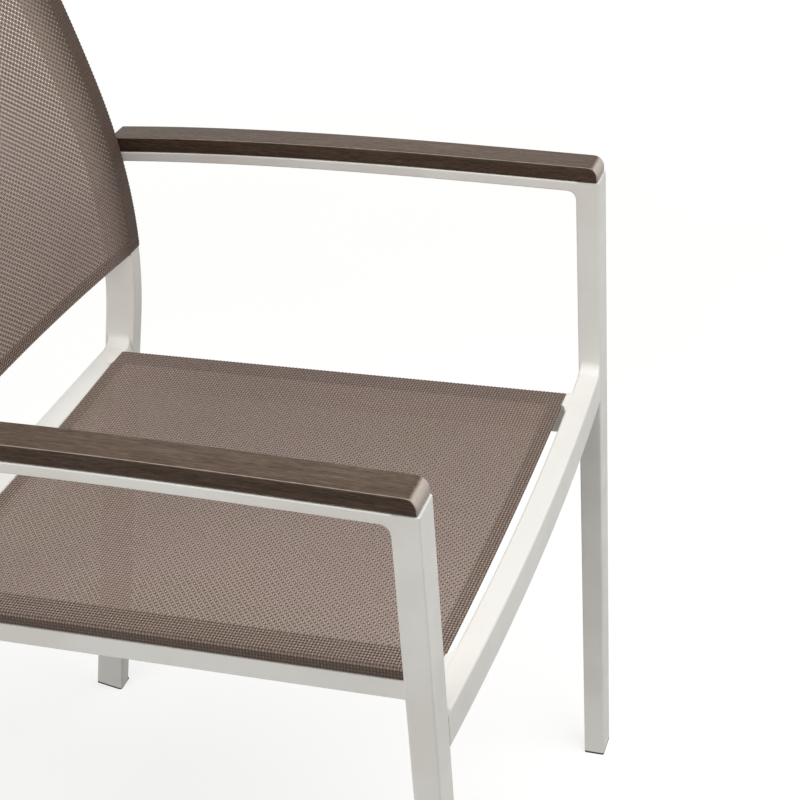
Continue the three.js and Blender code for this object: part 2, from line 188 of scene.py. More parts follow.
def sRgb(red, green, blue):  # a colour as a screen shows it, 0 to 255, to the one that lights add up
    levels = [value / 255 for value in (red, green, blue)]
    straight = [v / 12.92 if v <= 0.04045 else ((v + 0.055) / 1.055) ** 2.4 for v in levels]
    return (*straight, 1.0)


def newMaterial(name):
    material = bpy.data.materials.new(name)
    material.use_nodes = True
    return material, Graph(material.node_tree)


def finishMaterial(graph, values):
    shader = graph.add("ShaderNodeBsdfPrincipled", None, values)
    graph.node("ShaderNodeOutputMaterial", None, {"Surface": shader})


# Powder coat on the aluminium: satin, with a fine orange peel
powderCoat = {
    "light": sRgb(238, 236, 230),
    "dark": sRgb(229, 226, 219),
    "roughness": (0.36, 0.48),
    "specular": 0.45,
    "patchScale": 9.0,
    "smudgeScale": 46.0,
    "peelScale": 850.0,
    "peelStrength": 0.35,
    "peelDepth": 0.00006,
}


def powderCoatMaterial():
    material, graph = newMaterial("powderCoat")
    point = graph.objectPoint()
    patches = graph.noise(point, powderCoat["patchScale"], 3.0)
    peel = graph.noise(point, powderCoat["peelScale"], 1.0)
    smudge = graph.noise(point, powderCoat["smudgeScale"], 4.0, 0.6)
    finishMaterial(graph, {
        "Base Color": graph.mix(patches.ramp(0.35, 0.65), powderCoat["dark"], powderCoat["light"]),
        "Roughness": smudge.ramp(0.3, 0.7, *powderCoat["roughness"]),
        "Normal": graph.bump(peel, powderCoat["peelStrength"], powderCoat["peelDepth"]),
        "Specular IOR Level": powderCoat["specular"],
    })
    return material


# Stained slat: brushed grain along the arm, with fine pores; painted light makes the top paler, and a painted
# highlight lies on its round nose and top edges
slatFinish = {
    "stains": [(0.30, sRgb(54, 39, 29)), (0.52, sRgb(86, 70, 58)), (0.74, sRgb(120, 103, 89))],
    # painted highlight: the pale colour of the glint on the nose and along the top edges
    "paintedHighlight": sRgb(204, 192, 181),
    "roughness": (0.26, 0.36),
    "specular": 0.12,
    "grain": (420.0, 24.0, 420.0),
    "pores": (1300.0, 120.0, 1300.0),
    "patches": (30.0, 3.0, 30.0),
    "grainStrength": 0.5,
    "grainDepth": 0.00022,
}


def slatMaterial():
    material, graph = newMaterial("stainedSlat")
    grain = graph.noise(graph.objectPoint(slatFinish["grain"]), 1.0, 4.0, 0.62)
    pores = graph.noise(graph.objectPoint(slatFinish["pores"]), 1.0, 2.0, 0.6)
    patches = graph.noise(graph.objectPoint(slatFinish["patches"]), 1.0, 3.0)
    facing = graph.parts(graph.add("ShaderNodeTexCoord", output="Normal"))
    forward, up = facing[1] * -1.0, facing[2]
    paintedTopLight = up.ramp(0.2, 0.9, -0.09, 0.03)  # painted light: a little paler on top and darker on the sides
    tone = grain * 0.38 + pores * 0.44 + patches * 0.18 + paintedTopLight
    colour = graph.add("ShaderNodeValToRGB", {"stops": slatFinish["stains"]}, {"Fac": tone})
    # Painted highlight: the round nose and the thin rounding along the top edges are mixed towards a pale
    # glint
    nose = forward.ramp(0.35, 0.7) * up.ramp(-0.3, 0.5, 0.5, 1.0)
    edge = up.ramp(0.55, 0.7) * up.ramp(0.78, 0.9, 0.6, 0.0)
    relief = grain * 0.5 + pores * 0.5
    finishMaterial(graph, {
        "Base Color": graph.mix(nose.most(edge) * (pores * 0.8 + 0.4), colour, slatFinish["paintedHighlight"]),
        "Roughness": pores.ramp(0.3, 0.7, *slatFinish["roughness"]),
        "Normal": graph.bump(relief, slatFinish["grainStrength"], slatFinish["grainDepth"]),
        "Specular IOR Level": slatFinish["specular"],
    })
    return material


# Slings: woven cloth with a hem all round, sewn with a fine thread
sling = {
    "hemWidth": 12.0,
    "layerGap": 0.95,
    "sideGap": 0.42,
    "sideThickness": 0.3,
    "sideTuck": 1.5,  # how far the side hem reaches in past the rail
    "panelSteps": 16,
    "shoulderSteps": 6,
    "loopSteps": 12,
    "loopTurn": 288,  # degrees round the keder rod
    "foldSteps": 6,
    "rowStep": 14.0,
    "columnStep": 8.0,
    "closestColumn": 0.5,
    "hemStep": 4.0,
    "seamFromFold": 3.0,
    "seamFromEnd": 2.0,
    "stitchPitch": 3.4,
    "stitchStartShare": 0.15,
    "stitchLength": 2.3,
    "stitchRadius": 0.28,
    "stitchLift": 0.15,
}

# Sling cloth: floats take turns in a chequer of yarns, and every second corner between them is open; painted
# light makes the raised floats lighter and the low parts darker
weave = {
    "acrossPitch": 2.87,
    "alongPitch": 2.5,
    # painted highlight on the raised floats
    "paintedFloatHighlight": sRgb(197, 178, 167),
    "ground": sRgb(155, 135, 125),
    "faded": (0.98, 0.98, 0.92, 1.0),
    # painted shade in the low parts between the floats
    "paintedLowShade": sRgb(104, 86, 77),
    "slub": sRgb(112, 94, 84),
    # painted shade in the closed corners and in the hems' holes
    "paintedHoleShade": sRgb(40, 31, 26),
    # painted shade on the hems, the shoulder over the rail, and across the cloth from one side to the other
    "paintedShade": sRgb(84, 69, 62),
    # painted shade, darker still, on the wrap round the rail and, on the back, the cloth beside the post
    "wrapShade": sRgb(66, 51, 43),
    "roughness": (0.62, 0.82),
    "specular": 0.3,
    "bumpStrength": 0.6,
    "bumpDepth": 0.0005,
    "warpHeight": 0.72,
    "tintScale": 9.0,
    "slubScale": 420.0,
    "holeShares": (0.24, 0.36),  # of a pitch, from a yarn's middle line to a corner's edge
    "sunkShares": (0.15, 0.31),
    "filled": (0.1, 0.9),  # how much of the corners the rail fills from behind, right and left
    "hemBlur": 0.3,
    "shoulderLead": (4.0, 3.0),
    "halfSpan": 0.2,  # metres from the middle to where slow changes across the cloth end
}


def chequer(column, row):  # 0 and 1 by turns over a grid
    return ((column.floor() + row.floor()) * 0.5).fraction() * 2.0


def floatHeight(aside, beyond):  # one yarn on top, high in its middle and falling off to its ends
    return aside.ramp(0.06, 0.50, 1.0, 0.0) * beyond.ramp(0.34, 0.56, 1.0, 0.0)


def weaveMaterial(name, cloth=None):  # without a cloth it is a plain, closed weave
    material, graph = newMaterial(name)
    across, along = graph.parts(graph.add("ShaderNodeUVMap", {"uv_map": "cloth"}))[:2]
    column = across / (weave["acrossPitch"] * mm)
    row = along / (weave["alongPitch"] * mm)
    fromColumn = (column.fraction() - 0.5).size()
    fromRow = (row.fraction() - 0.5).size()

    def cornerShare(shares):  # 1 in the corners between the yarns
        return fromColumn.ramp(*shares) * fromRow.ramp(*shares)

    turn = chequer(column, row)  # which yarn is on top
    weft = floatHeight(fromRow, fromColumn) * (1.0 - turn)
    warp = floatHeight(fromColumn, fromRow) * turn
    raised = weft + warp * weave["warpHeight"]
    hole = cornerShare(weave["holeShares"])
    tint = graph.noise(graph.objectPoint(), weave["tintScale"], 3.0)
    slub = graph.noise(graph.objectPoint(), weave["slubScale"], 2.0)
    # Painted light by height: the low parts between the yarns get painted shade and the raised floats a
    # painted highlight
    colour = graph.mix(raised.ramp(0.02, 0.45), weave["paintedLowShade"], weave["ground"])
    colour = graph.mix(raised.ramp(0.4, 0.95), colour, weave["paintedFloatHighlight"])
    colour = graph.mix(slub.ramp(0.3, 0.7, 0.0, 0.3), colour, weave["slub"])
    colour = graph.mix(tint.ramp(0.48, 0.64), colour, weave["faded"], "MULTIPLY")
    values = {
        "Roughness": slub.ramp(0.2, 0.8, *weave["roughness"]),
        "Normal": graph.bump(raised, weave["bumpStrength"], weave["bumpDepth"]),
        "Specular IOR Level": weave["specular"],
    }
    if cloth:
        light, length, blur = cloth.light, cloth.length * mm, weave["hemBlur"]
        wrapStart, wrapEnd = [cloth.inner + run for run in light["wrap"]]

        def fromRight(first, last):  # changes slowly from the right side to the left
            return across.ramp(-weave["halfSpan"], weave["halfSpan"], first, last)

        def pastHem(run, hem, *levels):
            return run.ramp((hem - blur) * mm, (hem + blur) * mm, *levels)

        run, fromEnd = across.size(), along.least(length - along)
        single = pastHem(run, cloth.inner, 1.0, 0.0) * pastHem(fromEnd, sling["hemWidth"])
        # Painted shade: the hems and the shoulder over the rail are darkened, and the cloth more so towards
        # one side
        shoulder = run.ramp(*[(wrapStart - lead) * mm for lead in weave["shoulderLead"]])
        # Painted shade over the wrap round the rail, fading in from the wrap's start
        wrapShade = run.ramp(wrapStart * mm, wrapEnd * mm, 0.0, light["wrapShade"])
        filled = (shoulder * fromRight(*weave["filled"])).most(wrapShade)
        # Painted shade in the corners: the closed corners of the single layer and every corner of the hems
        # are dark, except where the rail shows from behind
        sunk = cornerShare(weave["sunkShares"]) * (1.0 - single)
        pitted = (hole * (1.0 - single * 0.45)).most(sunk) * (1.0 - filled)
        colour = graph.mix(pitted, colour, weave["paintedHoleShade"])
        colour = graph.mix((1.0 - single) * 0.2 + shoulder * 0.2, colour, weave["paintedShade"])
        colour = graph.mix(fromRight(*light["shade"]), colour, weave["paintedShade"])
        colour = graph.mix(wrapShade, colour, weave["wrapShade"])
        # Light comes through every second corner of a single layer, and not through the hems
        lit = hole * single * chequer(column + 0.5, row + 0.5)
        level = fromRight(*light["across"]) * along.ramp(0.0, length, *light["along"])
        values["Alpha"] = 1.0 - lit * level * tint.ramp(0.35, 0.65, 0.75, 1.1)
    else:
        # painted shade in every corner
        colour = graph.mix(hole, colour, weave["paintedHoleShade"])
    finishMaterial(graph, {"Base Color": colour, **values})
    return material


plasticFinish = {
    "dark": (sRgb(24, 24, 25), sRgb(38, 38, 39)),
    "pale": (sRgb(216, 213, 206), sRgb(228, 225, 219)),
    "roughness": (0.42, 0.6),
    "wearScale": 120.0,
    "grainScale": 1400.0,
    "grainStrength": 0.4,
    "grainDepth": 0.0001,
}


def plasticMaterial(name, tones):
    material, graph = newMaterial(name)
    point = graph.objectPoint()
    grain = graph.noise(point, plasticFinish["grainScale"], 2.0)
    wear = graph.noise(point, plasticFinish["wearScale"], 5.0, 0.65)
    finishMaterial(graph, {
        "Base Color": graph.mix(wear.ramp(0.4, 0.75), *tones),
        "Roughness": wear.ramp(0.3, 0.7, *plasticFinish["roughness"]),
        "Normal": graph.bump(grain, plasticFinish["grainStrength"], plasticFinish["grainDepth"]),
    })
    return material


steelFinish = {
    "light": sRgb(196, 197, 199),
    "dark": sRgb(150, 151, 154),
    "roughness": (0.22, 0.42),
    "stainScale": 300.0,
    "turnedScale": 2600.0,
    "turnedStrength": 0.3,
    "turnedDepth": 0.00006,
}


def steelMaterial():
    material, graph = newMaterial("screwSteel")
    point = graph.objectPoint()
    turned = graph.noise(point, steelFinish["turnedScale"], 2.0)
    stain = graph.noise(point, steelFinish["stainScale"], 4.0)
    finishMaterial(graph, {
        "Base Color": graph.mix(stain.ramp(0.35, 0.7), steelFinish["light"], steelFinish["dark"]),
        "Metallic": 1.0,
        "Roughness": stain.ramp(0.3, 0.7, *steelFinish["roughness"]),
        "Normal": graph.bump(turned, steelFinish["turnedStrength"], steelFinish["turnedDepth"]),
    })
    return material


threadFinish = {
    "light": sRgb(146, 128, 118),
    "dark": sRgb(94, 79, 71),
    "roughness": (0.55, 0.8),
    "twistScale": 1900.0,
    "twistStrength": 0.6,
    "twistDepth": 0.0002,
}


def threadMaterial():
    material, graph = newMaterial("hemThread")
    twist = graph.noise(graph.objectPoint(), threadFinish["twistScale"], 2.0)
    finishMaterial(graph, {
        "Base Color": graph.mix(twist.ramp(0.3, 0.7), threadFinish["dark"], threadFinish["light"]),
        "Roughness": twist.ramp(0.3, 0.7, *threadFinish["roughness"]),
        "Normal": graph.bump(twist, threadFinish["twistStrength"], threadFinish["twistDepth"]),
    })
    return material


materials = {
    "coat": powderCoatMaterial(),
    "slat": slatMaterial(),
    "hem": weaveMaterial("hemUnderside"),
    "darkPlastic": plasticMaterial("darkPlastic", plasticFinish["dark"]),
    "palePlastic": plasticMaterial("palePlastic", plasticFinish["pale"]),
    "steel": steelMaterial(),
    "thread": threadMaterial(),
}
print("materials made")


# What the makers of meshes share
shading = {"sharp": math.radians(40), "weight": 100}
alongShare = 0.98  # an edge whose step along an axis is a larger share of its length follows that axis
joinDistance = 0.000001  # points closer than this are made one


def settle(name, bm, material, nodes, weighted=True):
    mesh = bpy.data.meshes.new(name)
    for face in bm.faces:
        face.smooth = True
    bm.to_mesh(mesh)
    bm.free()
    mesh.set_sharp_from_angle(angle=shading["sharp"])
    mesh.materials.append(materials[material])
    piece = bpy.data.objects.new(name, mesh)
    bpy.context.scene.collection.objects.link(piece)
    if weighted:
        modifier = piece.modifiers.new("evenNormals", "WEIGHTED_NORMAL")
        modifier.keep_sharp = True
        modifier.weight = shading["weight"]
    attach(piece, "root")
    if nodes:
        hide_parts(*nodes)
    return piece


def edgesAlong(bm, axis):
    def follows(edge):
        step = edge.verts[1].co - edge.verts[0].co
        return abs(step[axis]) > alongShare * step.length
    return [edge for edge in bm.edges if follows(edge)]


def roundEdges(bm, edges, radius, segments):
    bmesh.ops.bevel(
        bm, geom=edges, offset=radius, offset_type="OFFSET", segments=segments,
        profile=0.5, affect="EDGES", clamp_overlap=True, material=-1,
    )


def cutAcross(bm, point, normal):
    everything = bm.verts[:] + bm.edges[:] + bm.faces[:]
    bmesh.ops.bisect_plane(bm, geom=everything, plane_co=point, plane_no=normal)


def block(bm, low, high):
    made = bmesh.ops.create_cube(bm, size=1.0)["verts"]
    bmesh.ops.scale(bm, verts=made, vec=high - low)
    bmesh.ops.translate(bm, verts=made, vec=(high + low) / 2)


def bar(bm, low, high, axis, radius, segments, cuts=0):  # a block in an empty mesh, its long edges rounded
    block(bm, low, high)
    roundEdges(bm, edgesAlong(bm, axis), radius, segments)
    normal = (xAxis, yAxis, zAxis)[axis]
    for i in range(cuts):
        cutAcross(bm, low + normal * (high[axis] - low[axis]) * (i + 1) / (cuts + 1), normal)


def bowOut(bm, half, depth):  # bends a bar along x, so that its middle stands back by the depth
    for vert in bm.verts:
        share = vert.co.x / (half * mm)
        vert.co.y += depth * mm * (1 - share * share)


def arcPoints(centre, radius, fromDegrees, toDegrees, steps):
    swing = toDegrees - fromDegrees
    angles = [math.radians(fromDegrees + swing * i / steps) for i in range(steps + 1)]
    return [(centre[0] + radius * math.cos(a), centre[1] + radius * math.sin(a)) for a in angles]


def flatFace(bm, points):
    return bm.faces.new([bm.verts.new(point) for point in points])


def pulled(bm, face, way):  # draws a face out into a prism
    made = bmesh.ops.extrude_face_region(bm, geom=[face])["geom"]
    verts = [item for item in made if isinstance(item, bmesh.types.BMVert)]
    bmesh.ops.translate(bm, verts=verts, vec=way)
    return made


def turnedOn(bm, end, centre, angle, steps):  # carries the end of a prism on round a bend
    return bmesh.ops.spin(
        bm, geom=end, cent=centre, axis=xAxis, dvec=(0, 0, 0), angle=-angle, steps=steps, use_duplicate=False,
    )["geom_last"]


# A hollow corner of weld, ground smooth: out along the piece that carries it, and up the neighbour
weld = {
    "root": 3.6,  # how far it reaches into both pieces
    "steps": 8,
    "inset": 0.2,
    "soft": 2.0,
    "softSteps": 4,
    "sharp": 1.2,
    "tolerance": 0.01,
}


def weldFillet(bm, radius, length, corner, along, outwards, up, soft=weld["soft"]):
    oldEdges, oldFaces = set(bm.edges), set(bm.faces)
    root, near = weld["root"], weld["tolerance"] * mm
    profile = [
        (0, -root),
        (radius, -root),
        *arcPoints((radius, radius), radius, -90, -180, weld["steps"]),
        (-root, radius),
        (-root, -root),
    ]
    start = corner - along * (length / 2 * mm)
    face = flatFace(bm, [start + outwards * (x * mm) + up * (y * mm) for x, y in profile])
    pulled(bm, face, along * (length * mm))
    newFaces = [item for item in bm.faces if item not in oldFaces]
    bmesh.ops.recalc_face_normals(bm, faces=newFaces)
    hollow = corner + (outwards + up) * (radius * mm)  # on the line round which the arc turns

    def onArc(vert):
        away = vert.co - hollow
        away -= along * away.dot(along)
        return abs(away.length - radius * mm) < near

    def endsArc(edge):
        first, second = edge.verts
        level = abs((second.co - first.co).dot(along)) < near
        return edge.calc_face_angle(0) > weld["sharp"] and level and onArc(first) and onArc(second)

    ends = [edge for edge in bm.edges if edge not in oldEdges and endsArc(edge)]
    roundEdges(bm, ends, soft * mm, weld["softSteps"])


def weldRailEnds(bm, half, front, rear, top, radius):  # on a rail's top, at both of its ends
    length = rear - front - 2 * weld["inset"]
    for side in (-1, 1):
        corner = place(side * half, (front + rear) / 2, top)
        weldFillet(bm, radius, length, corner, yAxis, -side * xAxis, zAxis)


# Armrest slat, arched from front to rear, with a round nose
armrest = {
    "height": 650.0,
    "front": 1.3,
    "rear": 447.5,
    "thickness": 13.6,
    "width": 27.4,
    "inset": 0.3,
    "nose": 9.0,
    "noseSteps": 9,
    "edge": 1.6,
    "edgeSteps": 3,
    "sharp": math.radians(50),
    "rise": 7.6,
    "drop": 13.1,
    "cuts": 18,
}


def archHeight(y):
    share = (y - armrest["front"]) / (armrest["rear"] - armrest["front"])
    return armrest["height"] + armrest["rise"] * share - armrest["drop"] * share ** 3


def archVerts(bm):  # lifts a level slat onto the arch
    for vert in bm.verts:
        y = vert.co.y / mm - whole["depthShift"]
        vert.co.z += (archHeight(y) - armrest["height"]) * mm


def buildArmrest(sideName, side):
    bm = bmesh.new()
    outer = whole["halfWidth"] - armrest["inset"]
    lowX, highX = sorted((side * outer, side * (outer - armrest["width"])))
    low = place(lowX, armrest["front"], armrest["height"] - armrest["thickness"])
    high = place(highX, armrest["rear"], armrest["height"])
    block(bm, low, high)

    def atNose(vert):  # within a millimetre
        return vert.co.z > high.z - mm and vert.co.y < low.y + mm

    nose = [edge for edge in edgesAlong(bm, 0) if atNose(edge.verts[0]) and atNose(edge.verts[1])]
    roundEdges(bm, nose, armrest["nose"] * mm, armrest["noseSteps"])
    sharp = [edge for edge in bm.edges if edge.calc_face_angle(0) > armrest["sharp"]]
    roundEdges(bm, sharp, armrest["edge"] * mm, armrest["edgeSteps"])
    start = armrest["front"] + 2 * armrest["nose"]  # behind the nose's curve
    step = (armrest["rear"] - armrest["front"] - 3 * armrest["nose"]) / armrest["cuts"]
    for i in range(armrest["cuts"]):
        cutAcross(bm, place(0, start + i * step, 0), yAxis)
    archVerts(bm)
    settle(f"slat_{sideName}", bm, "slat", [f"armrest_{sideName}"])


# Front leg, an upright tube that stands on its cap
leg = {
    "width": 28.0,
    "depth": 20.0,
    "corner": 1.7,
    "cornerSteps": 4,
    "capThickness": 1.8,
    "lap": 0.05,  # in from both sides, so that no two faces coincide
}


def legSpan(side):  # the x of a leg's two sides, the smaller one first
    return sorted((side * whole["halfWidth"], side * (whole["halfWidth"] - leg["width"])))


def buildLeg(sideName, side):
    bm = bmesh.new()
    lowX, highX = legSpan(side)
    low = place(lowX + leg["lap"], 0, leg["capThickness"] + whole["fit"])
    high = place(highX - leg["lap"], leg["depth"], archHeight(0) - armrest["thickness"] - whole["fit"])
    bar(bm, low, high, 2, leg["corner"] * mm, leg["cornerSteps"])
    settle(f"leg_{sideName}", bm, "coat", [f"front_leg_{sideName}"])


# Arm bar under the slat, from the leg back to the post
armBar = {
    "thickness": 8.8,
    "edge": 1.1,
    "edgeSteps": 3,
    "bite": 2.0,  # how far it starts inside the leg
    "weldRadius": 7.5,
    "weldInset": 0.1,
    "weldSoft": 1.2,
    "cuts": 18,
}


def buildArmBar(sideName, side):
    bm = bmesh.new()
    lowX, highX = legSpan(side)
    top = armrest["height"] - armrest["thickness"] - whole["fit"]
    bottom = top - armBar["thickness"]
    rear = postFace(postLengthAt(archHeight(armrest["rear"]) - armrest["thickness"]))[0] + post["depth"]
    low, high = place(lowX, leg["depth"] - armBar["bite"], bottom), place(highX, rear, top)
    bar(bm, low, high, 1, armBar["edge"] * mm, armBar["edgeSteps"], armBar["cuts"])
    archVerts(bm)
    lift = archHeight(leg["depth"]) - armrest["height"]
    corner = place((lowX + highX) / 2, leg["depth"], bottom + lift)
    length = leg["width"] - 2 * armBar["weldInset"]
    weldFillet(bm, armBar["weldRadius"], length, corner, xAxis, yAxis, -zAxis, armBar["weldSoft"])
    settle(f"arm_{sideName}", bm, "coat", [f"arm_bar_{sideName}"])


# Back post: a raked leg, a bend in the small of the back and a wide bend above it
post = {
    "width": 20.0,
    "depth": 29.0,
    "outer": 231.7,
    "lumbarHeight": 567.0,
    "lumbarRadius": 520.0,
    "lumbarSteps": 18,
    "upperRadius": 1400.0,
    "upperSteps": 12,
    "legRake": math.radians(11.1),
    "upperBend": math.radians(13.9),
    "backHeight": 862.0,
    "capThickness": 1.8,
    "soleTrim": 0.8,
    "searchReach": 900,
    "searchSteps": 60,
}
lumbarLow = -post["lumbarRadius"] * post["legRake"]
lumbarHigh = post["lumbarRadius"] * post["upperBend"]


def postFace(length):  # depth, height and lean of the front face, by length up it from the lumbar line
    below = min(0.0, length - lumbarLow)
    above = max(0.0, length - lumbarHigh)
    bend = (length - below - above) / post["lumbarRadius"]
    angle = bend + above / post["upperRadius"]
    depth = post["lumbarRadius"] * (1 - math.cos(bend))
    depth += post["upperRadius"] * (math.cos(bend) - math.cos(angle)) - below * math.sin(post["legRake"])
    rise = post["lumbarRadius"] * math.sin(bend)
    rise += post["upperRadius"] * (math.sin(angle) - math.sin(bend)) + below * math.cos(post["legRake"])
    return whole["backSetback"] + depth, post["lumbarHeight"] + rise, angle


def postLengthAt(height):  # found by halving the stretch that holds it
    low, high = lumbarLow - post["searchReach"], lumbarHigh + post["searchReach"]
    for _ in range(post["searchSteps"]):
        middle = (low + high) / 2
        if postFace(middle)[1] < height:
            low = middle
        else:
            high = middle
    return high


postTop = postLengthAt(post["backHeight"]) - post["capThickness"] - whole["fit"]
postFoot = postLengthAt(-post["soleTrim"]) + post["capThickness"] + whole["fit"]

# The keyhole groove that holds a sling by its keder rod
groove = {
    "cloth": 0.8,
    "gap": 0.3,
    "wrap": 8.2,
    "shoulder": 3.0,
    "keder": 2.4,
    "lip": 1.6,
    "corner": 1.5,
    "cornerSteps": 4,
    "shoulderSteps": 5,
    "boreSteps": 16,
}
rebate = groove["cloth"] + 2 * groove["gap"]
slotWidth = 2 * groove["cloth"] + 2 * groove["gap"]
boreRadius = groove["keder"] + groove["cloth"] + 2 * groove["gap"]
grooveFall = groove["wrap"] + slotWidth / 2


def groovedProfile(width, depth):  # outwards from the inner face, and down from the face under the cloth
    lip = math.degrees(math.asin(slotWidth / 2 / boreRadius))
    bore = (width - groove["lip"] - boreRadius, -grooveFall)
    corner, steps = groove["corner"], groove["cornerSteps"]
    shoulder = (width - rebate - groove["shoulder"], -groove["shoulder"])
    return [
        *arcPoints((corner, corner - depth), corner, 180, 270, steps),
        *arcPoints((width - corner, corner - depth), corner, -90, 0, steps),
        (width, -grooveFall - slotWidth / 2),
        *arcPoints(bore, boreRadius, -lip, lip - 360, groove["boreSteps"]),
        (width - rebate, -grooveFall + slotWidth / 2),
        *arcPoints(shoulder, groove["shoulder"], 0, 90, groove["shoulderSteps"]),
        *arcPoints((corner, -corner), corner, 90, 180, steps),
    ]


def buildPost(sideName, side):
    bm = bmesh.new()
    inner = post["outer"] - post["width"]
    depth, height, angle = postFace(postFoot)
    up = Vector((0, -math.cos(angle), math.sin(angle)))
    profile = groovedProfile(post["width"], post["depth"])
    foot = flatFace(bm, [place(side * (inner + x), depth, height) + up * (y * mm) for x, y in profile])
    along = Vector((0, math.sin(angle), math.cos(angle)))
    end = pulled(bm, foot, along * ((lumbarLow - postFoot) * mm))
    centre = place(0, whole["backSetback"] + post["lumbarRadius"], post["lumbarHeight"])
    end = turnedOn(bm, end, centre, post["legRake"] + post["upperBend"], post["lumbarSteps"])
    depth, height, angle = postFace(lumbarHigh)
    back = Vector((0, math.cos(angle), -math.sin(angle)))
    centre = place(0, depth, height) + back * (post["upperRadius"] * mm)
    turnedOn(bm, end, centre, (postTop - lumbarHigh) / post["upperRadius"], post["upperSteps"])
    bmesh.ops.remove_doubles(bm, verts=bm.verts, dist=joinDistance)
    bmesh.ops.recalc_face_normals(bm, faces=bm.faces)
    settle(f"post_{sideName}", bm, "coat", [f"back_post_{sideName}"])


# Seat side rail: the posts' groove again, in a straight rail that falls to the rear
seatRail = {
    "width": 22.5,
    "depth": 27.9,
    "inset": 17.5,
    "fall": 7.6,
    "weldRadius": 8.0,
    "flushArc": (-47, -90, 6),  # the part of the fillet that the flush weld follows, and its steps
    "flushFront": 13.6,
    "flushRear": 20.2,
    "flushInset": 2.0,
    "flushDrop": 0.3,
    "flushThickness": 3.0,
}
seatRail["outer"] = post["outer"] - post["width"] - seatRail["inset"]


def seatRailTop(y):
    return whole["seatHeight"] - groove["cloth"] - groove["gap"] - seatRail["fall"] * y / rearRail["front"]


def buildSeatRail(sideName, side):
    bm = bmesh.new()
    front, rear = frontRail["depth"] / 2, rearRail["front"]
    outer, inner = seatRail["outer"], seatRail["outer"] - seatRail["width"]
    profile = groovedProfile(seatRail["width"], seatRail["depth"])
    face = flatFace(bm, [place(side * (inner + x), front, seatRailTop(front) + y) for x, y in profile])
    pulled(bm, face, place(0, rear, seatRailTop(rear)) - place(0, front, seatRailTop(front)))
    share = inner / (whole["halfWidth"] - leg["width"])
    rearFace = frontRail["depth"] - frontRail["bow"] * (1 - share ** 2)  # the bowed front rail's, here
    corner = place(side * inner, rearFace, seatRailTop(rearFace) - seatRail["depth"] / 2)
    radius, height = seatRail["weldRadius"], seatRail["depth"] - 2 * weld["inset"]
    weldFillet(bm, radius, height, corner, zAxis, yAxis, -side * xAxis)
    # The weld on top, ground flush with the front rail
    plan = [
        (inner - radius, seatRail["flushFront"]),
        (outer - seatRail["flushInset"], seatRail["flushFront"]),
        (outer - seatRail["flushInset"], seatRail["flushRear"]),
        (inner, seatRail["flushRear"]),
        *arcPoints((inner - radius, rearFace + radius), radius, *seatRail["flushArc"]),
    ]
    top = flatFace(bm, [place(side * x, y, whole["seatHeight"] - seatRail["flushDrop"]) for x, y in plan])
    pulled(bm, top, zAxis * (-seatRail["flushThickness"] * mm))
    bmesh.ops.recalc_face_normals(bm, faces=bm.faces)
    settle(f"seatRail_{sideName}", bm, "coat", [f"seat_side_rail_{sideName}"])


# Front rail, its middle bowed forward
frontRail = {
    "height": 31.0,
    "depth": 19.0,
    "bow": 7.0,
    "corner": 2.4,
    "cornerSteps": 5,
    "weldRadius": 9.0,
    "cuts": 23,
}


def buildFrontRail():
    bm = bmesh.new()
    half = whole["halfWidth"] - leg["width"]
    low = place(-half, 0, whole["seatHeight"] - frontRail["height"])
    high = place(half, frontRail["depth"], whole["seatHeight"])
    bar(bm, low, high, 0, frontRail["corner"] * mm, frontRail["cornerSteps"], frontRail["cuts"])
    bowOut(bm, half, -frontRail["bow"])
    weldRailEnds(bm, half, 0, frontRail["depth"], whole["seatHeight"], frontRail["weldRadius"])
    settle("frontRail", bm, "coat", ["front_rail"])


# Rear rail, between the posts behind the seat sling
rearRail = {
    "height": 27.0,
    "depth": 20.0,
    "corner": 3.2,
    "cornerSteps": 5,
    "drop": 5.0,
    "lap": 6.0,
    "lip": 3.6,  # the weld ground smooth towards the seat
    "weldRadius": 11.0,
}
rearRail["top"] = whole["seatHeight"] - seatRail["fall"] - rearRail["drop"]
rearRail["front"] = postFace(postLengthAt(rearRail["top"]))[0] + rearRail["lap"]


def buildRearRail():
    bm = bmesh.new()
    half, top = post["outer"] - post["width"], rearRail["top"]
    front, rear = rearRail["front"] - rearRail["lip"], rearRail["front"] + rearRail["depth"]
    low, high = place(-half, front, top - rearRail["height"]), place(half, rear, top)
    bar(bm, low, high, 0, rearRail["corner"] * mm, rearRail["cornerSteps"])
    weldRailEnds(bm, half, front, rear, top, rearRail["weldRadius"])
    settle("rearRail", bm, "coat", ["rear_rail"])


# Top rail, its middle bowed back
topRail = {"height": 30.0, "depth": 20.0, "corner": 3.2, "cornerSteps": 5, "bow": 10.0, "cuts": 23}


def buildTopRail():  # made level, then leant back with the posts
    bm = bmesh.new()
    half = post["outer"] - post["width"]
    depth, height, angle = postFace(postTop - topRail["height"] / 2)
    low = Vector((-half, 0, -topRail["height"] / 2)) * mm
    high = Vector((half, topRail["depth"], topRail["height"] / 2)) * mm
    bar(bm, low, high, 0, topRail["corner"] * mm, topRail["cornerSteps"], topRail["cuts"])
    bowOut(bm, half, topRail["bow"])
    bmesh.ops.rotate(bm, verts=bm.verts, cent=(0, 0, 0), matrix=Matrix.Rotation(-angle, 3, "X"))
    bmesh.ops.translate(bm, verts=bm.verts, vec=place(0, depth, height))
    settle("topRail", bm, "coat", ["top_rail"])


for sideName, side in (("right", -1), ("left", 1)):
    buildLeg(sideName, side)
    buildArmrest(sideName, side)
    buildArmBar(sideName, side)
    buildPost(sideName, side)
    buildSeatRail(sideName, side)
buildFrontRail()
buildRearRail()
buildTopRail()
print("frame and armrests built")


